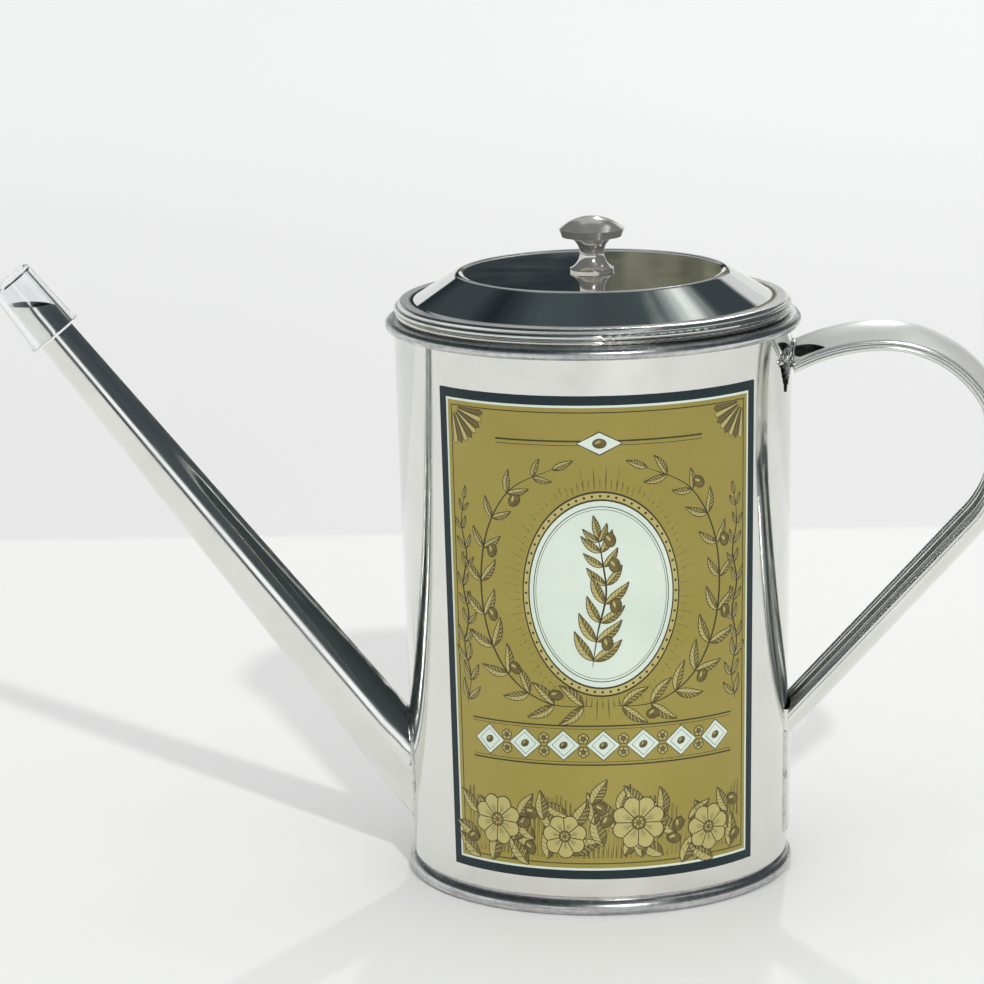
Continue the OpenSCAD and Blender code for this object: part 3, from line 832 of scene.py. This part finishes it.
# Solder, in millimetres too. Its rim dips a little into the wall, so that no gap shows. Beyond CORNER_Y the
# strap's outline runs down its side. WALL_TURN is the wall's turn, in radians, where the drip runs.
RIM_SINK = 0.05
CORNER_Y = 9
WALL_TURN = -0.285
DRIP_DROPS = 9


def lumpy(point, size, height):
    return noise.noise(point * size) * height


def normal_at(path, i):
    """Unit vector square to a flat path at its i-th point."""
    before, after = path[max(i - 1, 0)], path[min(i + 1, len(path) - 1)]
    return Vector((after[1] - before[1], before[0] - after[0])).normalized()


def fillet(name, seams, material, node, lump=0.25, loop=False):
    """Solder drawn into a corner: each seam is a point on one face, the corner and a point on the other."""
    rows = []
    for a, corner, b in seams:
        row = []
        for i in range(9):
            t = i / 8
            at = (1 - t) ** 2 * a + 2 * t * (1 - t) * corner + t * t * b
            lift = (a + b - 2 * corner).normalized() * math.sin(math.pi * t)
            row.append(at + lift * (0.08 + lumpy(at, 0.55, lump) + lumpy(at, 1.7, lump * 0.4)))
        rows.append(row)
    if loop:
        rows.append(rows[0])
    bm = mesh_rows(rows)[0]
    if loop:
        bmesh.ops.remove_doubles(bm, verts=bm.verts, dist=0.000001)
    bmesh.ops.recalc_face_normals(bm, faces=bm.faces)
    piece = add_piece(name, bm, material, "can")
    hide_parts(node)


def drop(bm, at, size, seed):
    """A lump of solder at a point of the wall, with half sizes (away, across, up)."""
    made = bmesh.ops.create_icosphere(bm, subdivisions=3, radius=1.0)
    spin = Matrix.Rotation(WALL_TURN, 3, "Z")
    for vert in made["verts"]:
        p = vert.co.copy()
        p *= 1 + 0.22 * noise.noise(p * 1.6 + Vector((seed, 0, 0)))
        vert.co = (at + spin @ Vector((p.x * size[0], p.y * size[1], p.z * size[2]))) * MM


def solder_handle_top(bright):
    """Fillet between the wall and the strap's upper end, outside only."""
    def off_strap(away, size):
        return out * (away.x * size) + Vector((0, away.y * size, 0))

    outer = strap_half()[:CROWN_POINTS + FOLD_POINTS]
    outline = outer[::-1] + [(s, -y) for s, y in outer[1:]]
    place, out, ahead = strap_stations()[0]
    seams = []
    for i, (s, y) in enumerate(outline):
        away = -normal_at(outline, i)
        faces_in = away.x < 0 if abs(y) < CORNER_Y else away.y * y < 0
        if faces_in:
            away.negate()
        corner = to_wall(place + out * s + Vector((0, y, 0)), ahead, 0.0)
        on_strap = corner + ahead * (1.5 + lumpy(corner, 0.3, 1.0)) - off_strap(away, 0.06)
        spot = corner + off_strap(away, 1.5 + lumpy(corner, 0.4, 0.9))
        seams.append((on_strap, corner, on_wall(spot.y, spot.z, -RIM_SINK)))
    fillet("solder_handle_top", seams, bright, "handle_top_joint")


def solder_drip(dark):
    """Burnt solder run down the wall below the fillet, narrowing to a thread."""
    bm = bmesh.new()
    for k in range(DRIP_DROPS):
        t = k / (DRIP_DROPS - 1)
        across = 4.8 * (1 - t) ** 0.9 + 0.7
        drop(bm, on_wall(-14.3 - 0.9 * t, 138.8 - 5.4 * t, 0.2), (0.55, across, 0.95), k)
    drop(bm, on_wall(-15.3, 132.2, 0.1), (0.35, 0.5, 1.7), 11)
    add_piece("solder_drip", bm, dark, "can")


def solder_beads(bright):
    """Bright lumps in front of the strap's upper end: each is (across, height, size)."""
    bm = bmesh.new()
    lumps = ((-12.0, 141.0, 1.9), (-14.9, 140.6, 1.8), (-17.6, 140.2, 1.4), (-19.9, 139.4, 0.9),
             (-10.8, 139.0, 1.2))
    for k, (y, z, size) in enumerate(lumps):
        drop(bm, on_wall(y, z, 0.2), (0.75, size * 1.2, size * 0.85), 20 + k)
    add_piece("solder_beads", bm, bright, "can")


def flux_patch(dark):
    """Thin burnt flux on the strap's top, by its upper end."""
    rows = []
    for i in range(15):
        t = i / 14
        along = 1.2 + 8.0 * t
        turn = math.radians(90) + TOP_START - along / TOP_BEND[2]
        way = Vector((math.cos(turn), 0, math.sin(turn)))
        half = 2.6 * (1 - t ** 2.2) * min(1.0, 0.55 + 3 * t)
        row = []
        for j in range(9):
            y = max(-6.8 - 2.3 * t + half * (j / 4 - 1), -9.3)
            thick = 0.16 * (1 - abs(j / 4 - 1) ** 4) * (1 + lumpy(Vector((along, y, 0)), 0.9, 0.6))
            s = CROWN * (1 - (y / HALF_W) ** 2) + thick - 0.02
            row.append(Vector((TOP_BEND[0], 0, TOP_BEND[1])) + way * (TOP_BEND[2] + s) + Vector((0, y, 0)))
        rows.append(row)
    bm = mesh_rows(rows)[0]
    bmesh.ops.recalc_face_normals(bm, faces=bm.faces)
    add_piece("flux_patch", bm, dark, "can")


def solder_handle_foot(bright):
    """Fillet down one side of the tail, round its foot and up the other."""
    sides = [(-HALF_W, z) for z in (38.0, 33.0, 28.0, 23.0, 18.0, 13.0, 11.0)]
    path = sides + [(-HALF_W + 0.6, TAIL_LOW)] + [(y, TAIL_LOW) for y in TAIL_COLUMNS]
    path += [(HALF_W - 0.6, TAIL_LOW)] + [(HALF_W, z) for _, z in reversed(sides)]
    fine = curve_through(path, 4)
    seams = []
    for i, (y, z) in enumerate(fine):
        away = normal_at(fine, i)
        faces_in = away.x * y < 0 if abs(y) > CORNER_Y else away.y > 0
        if faces_in:
            away.negate()
        wide = 0.9 + lumpy(Vector((y, z, 3.0)), 0.3, 0.6)
        seams.append((on_wall(y - away.x * 0.1, z - away.y * 0.1, SHEET - 0.15), on_wall(y, z, 0.0),
                      on_wall(y + away.x * wide, z + away.y * wide, -RIM_SINK)))
    fillet("solder_handle_foot", seams, bright, "handle_foot_joint", 0.15)


def make_handle_solder(bright, dark):
    solder_handle_top(bright)
    solder_drip(dark)
    solder_beads(bright)
    flux_patch(dark)
    solder_handle_foot(bright)


# The spout as the CAD has it: the heights of its axis at the wall and at the tip, its lean from upright,
# its radius at the wall and how much of that is gone at the tip
SPOUT_LOW_Z = 28.5
SPOUT_TIP_Z = 154.3
SPOUT_ROOT = Vector((-wall_mm(SPOUT_LOW_Z), 0, SPOUT_LOW_Z))
SPOUT_LEAN = math.radians(37.85)
SPOUT_LENGTH = (SPOUT_TIP_Z - SPOUT_LOW_Z) / math.cos(SPOUT_LEAN)
SPOUT_R = 9.1
SPOUT_TAPER = 4.25
SPOUT_RIM_SINK = 0.04


def make_spout_solder(bright):
    along = Vector((-math.sin(SPOUT_LEAN), 0, math.cos(SPOUT_LEAN)))
    side = Vector((math.cos(SPOUT_LEAN), 0, math.sin(SPOUT_LEAN)))

    def skin(way, s, sink=0.0):
        """Point of the spout's surface on the side "way", at s along its axis."""
        return SPOUT_ROOT + along * s + way * (SPOUT_R - SPOUT_TAPER * s / SPOUT_LENGTH - sink)

    def clear_of_wall(way, s):
        at = skin(way, s)
        return math.hypot(at.x, at.y) > wall_mm(at.z)

    seams = []
    for i in range(96):
        turn = math.tau * i / 96
        way = side * math.cos(turn) + Vector((0, math.sin(turn), 0))
        low = last_inside(22.0, lambda s: clear_of_wall(way, s))
        corner = skin(way, low)
        out = Vector((corner.x, corner.y, 0)).normalized()
        away = way - out * way.dot(out)
        away.normalize()
        grow = 1 + 0.5 * max(0.0, math.cos(turn))
        spot = corner + away * (0.75 * grow + lumpy(corner, 0.35, 0.3))
        flat = math.hypot(spot.x, spot.y)
        wall = wall_mm(spot.z) - SPOUT_RIM_SINK
        seams.append((skin(way, low + 0.9 * grow + lumpy(corner, 0.3, 0.4), 0.03), corner,
                      Vector((spot.x * wall / flat, spot.y * wall / flat, spot.z))))
    fillet("solder_spout", seams, bright, "spout_joint", 0.08, loop=True)


# Stage. The floor's paper ends at SWEEP_START, where the backdrop starts with painted shade that is darkest
# there and fades out towards SWEEP_END.
FLOOR_SIDES = 5.0
FLOOR_NEAR = -0.85
FLOOR_FAR = 8.0
SWEEP_START = 0.405
SWEEP_SOFT = 0.004
SWEEP_END = 1.9
AMBIENT = 0.77
AMBIENT_COOL = 1.005
DOME_R = 12.0


def make_floor():
    bm = bmesh.new()
    corners = ((-FLOOR_SIDES, FLOOR_NEAR, 0), (FLOOR_SIDES, FLOOR_NEAR, 0), (FLOOR_SIDES, FLOOR_FAR, 0),
               (-FLOOR_SIDES, FLOOR_FAR, 0))
    bm.faces.new([bm.verts.new(corner) for corner in corners])
    s = Shader("floor_paper")
    place = s.place()
    depth = s.split(place)[1]
    sweep = s.span(depth, SWEEP_START - SWEEP_SOFT, SWEEP_START + SWEEP_SOFT)
    rise = s.span(depth, SWEEP_START, SWEEP_END, smooth=True)
    clouds = s.noise(place, scale=1.6, detail=2.0)
    paper = s.blend(s.span(clouds, 0.3, 0.7), rgb(0.885, 0.885, 0.875), rgb(0.9, 0.9, 0.89))
    # Painted shade: the backdrop is darker where it starts and lightens towards SWEEP_END.
    back = s.blend(rise, rgb(0.80, 0.805, 0.80), rgb(0.89, 0.9, 0.895))
    finish = s.surface(Base_Color=s.blend(sweep, paper, back), Roughness=0.6, Specular_IOR_Level=0.2)
    floor = place_mesh("floor", bm, finish)


def make_world():
    """Plain pale light from all round."""
    world = bpy.data.worlds.new("studio")
    bpy.context.scene.world = world
    world.use_nodes = True
    s = Shader("studio", world.node_tree)
    cool = AMBIENT * AMBIENT_COOL
    glow = s.node("Background", Color=rgb(AMBIENT, cool, cool), Strength=1.0)
    s.tree.links.new(glow.outputs[0], s.node("OutputWorld").inputs[0])


def patch(s, value, low, high, soft):
    """1 between low and high, 0 outside, with soft edges."""
    rise = s.span(value, low - soft, low + soft, smooth=True)
    fall = s.span(value, high - soft, high + soft, 1.0, 0.0, smooth=True)
    return s.times(rise, fall)


def patch_of(s, values, first, second, soft):
    """1 inside a rectangle of two values, with soft edges."""
    return s.times(patch(s, values[0], *first, soft), patch(s, values[1], *second, soft))


# The surround's colours. ROOM_STOPS is the upper room from left to right, each as (place, colour).
ROOM_STOPS = (
    (0.12, (0.02, 0.026, 0.034)), (0.3, (0.072, 0.094, 0.108)), (0.55, (0.06, 0.075, 0.085)),
    (0.76, (0.07, 0.09, 0.1)), (0.885, (0.95, 1.0, 1.0)), (0.955, (0.05, 0.064, 0.074)),
)
ROOM_DARK = rgb(0.05, 0.064, 0.074)
WALL_LEFT = rgb(0.02, 0.03, 0.036)
SHELVES_DARK = rgb(0.03, 0.034, 0.024)
SHELVES_PALE = rgb(0.24, 0.24, 0.165)
CLOTH = rgb(0.4, 0.41, 0.425)
SMALL_CLOTH = rgb(0.72, 0.74, 0.76)
BACKDROP = rgb(0.82, 0.83, 0.83)
FRONT_STRIP = rgb(1.2, 1.22, 1.25)
RIGHT_WALL = rgb(0.068, 0.08, 0.092)
WINDOW = rgb(2.2, 2.25, 2.3)
WINDOW_WAY = (0.588, 0.169, 0.791)


def upper_room(s, way, x):
    """Colours over the room's width, their borders shifted by clouds."""
    cloud = s.noise(way, scale=5.0, detail=4.0, rough=0.6)
    moved = s.plus(x, s.times(s.math("SUBTRACT", cloud, 0.5), 0.24))
    ramp = s.node("ValToRGB", Fac=s.span(moved, -0.5, 0.5))
    band = ramp.color_ramp
    while len(band.elements) < len(ROOM_STOPS):
        band.elements.new(0.5)
    for element, (at, colour) in zip(band.elements, ROOM_STOPS):
        element.position = at
        element.color = rgb(*colour)
    return ramp.outputs[0]


def backdrop_edge(s, x, z):
    """1 under the upper edge of the pale backdrop, which rises to both sides and ends on the right."""
    top = s.span(s.math("ABSOLUTE", x), 0.05, 0.35, 0.1556, 0.28, smooth=True)
    top = s.times(top, s.span(x, 0.36, 0.5, 1.0, 0.0, smooth=True))
    return s.span(s.math("SUBTRACT", z, top), -SWEEP_SOFT, SWEEP_SOFT, 1.0, 0.0, smooth=True)


def make_surround():
    """The room as the metal sees it: the pale backdrop behind with olive shelves and two pale cloths over
    it, a dark room above, a dark wall on the right, a bright strip in front and a window. x, y and z are
    the way looked along. It only shows in reflections and through clear plastic."""
    bm = bmesh.new()
    bmesh.ops.create_uvsphere(bm, u_segments=64, v_segments=32, radius=DOME_R)
    s = Shader("surround")
    way = s.vector_math("NORMALIZE", s.place())
    x, y, z = s.split(way)
    room = s.blend(s.span(z, 0.68, 0.8, smooth=True), ROOM_DARK, upper_room(s, way, x))
    shelves = s.span(s.noise(way, scale=150.0, detail=4.0, rough=0.6), 0.38, 0.62, smooth=True)
    olive = s.blend(shelves, SHELVES_DARK, SHELVES_PALE)
    low_wall = s.blend(s.span(x, -0.006, 0.012, smooth=True), WALL_LEFT, olive)
    back = s.blend(s.span(z, 0.3, 0.5, smooth=True), low_wall, room)
    back = s.blend(patch_of(s, (x, z), (-0.21, 0.2), (0.27, 0.84), 0.04), back, CLOTH)
    back = s.blend(patch_of(s, (x, z), (0.24, 0.42), (0.26, 0.44), 0.03), back, SMALL_CLOTH)
    behind = s.blend(backdrop_edge(s, x, z), back, BACKDROP)
    front = s.blend(patch(s, z, 0.03, 0.2, 0.04), room, FRONT_STRIP)
    seen = s.blend(s.span(y, -0.35, 0.1, smooth=True), front, behind)
    wall = s.times(s.span(x, 0.5, 0.62, smooth=True), s.span(z, 0.5, 0.7, 1.0, 0.0, smooth=True))
    seen = s.blend(wall, seen, RIGHT_WALL)
    aside = s.vector_math("DISTANCE", way, WINDOW_WAY)
    seen = s.blend(s.span(aside, 0.05, 0.1, 1.0, 0.0, smooth=True), seen, WINDOW)
    glow = s.node("Emission", Color=seen, Strength=1.0)
    s.tree.links.new(glow.outputs[0], s.node("OutputMaterial").inputs[0])
    only_in_reflections(place_mesh("surround", bm, s.material))


def only_in_reflections(thing):
    """Hides a thing of the stage from all but glossy and transmission rays."""
    for kind in ("camera", "diffuse", "shadow", "volume_scatter"):
        setattr(thing, "visible_" + kind, False)


# The lamps: the way each shines from, its strength, and its width in degrees
KEY_FROM = Vector((58, -205, 148))
KEY_STRENGTH = 1.1
KEY_WIDTH = 2.2
BACK_FROM = Vector((0.18, 1.81, 1.0))
BACK_STRENGTH = 0.34
BACK_WIDTH = 1.8


def make_sun(name, origin, strength, width, colour):
    data = bpy.data.lights.new(name, "SUN")
    data.energy = strength
    data.angle = math.radians(width)
    data.color = colour
    sun = bpy.data.objects.new(name, data)
    bpy.context.scene.collection.objects.link(sun)
    sun.rotation_mode = "QUATERNION"
    sun.rotation_quaternion = origin.to_track_quat("Z", "Y")


def make_lights():
    make_sun("key", KEY_FROM, KEY_STRENGTH, KEY_WIDTH, (1.0, 0.99, 0.97))
    make_sun("back", BACK_FROM, BACK_STRENGTH, BACK_WIDTH, (1.0, 1.0, 1.0))


make_camera()
strap_finish, bright_solder, dark_solder = dress_nodes()
make_panel()
make_strap(strap_finish)
make_handle_solder(bright_solder, dark_solder)
make_spout_solder(bright_solder)
make_floor()
make_world()
make_surround()
make_lights()

bpy.context.scene.view_settings.view_transform = "Standard"
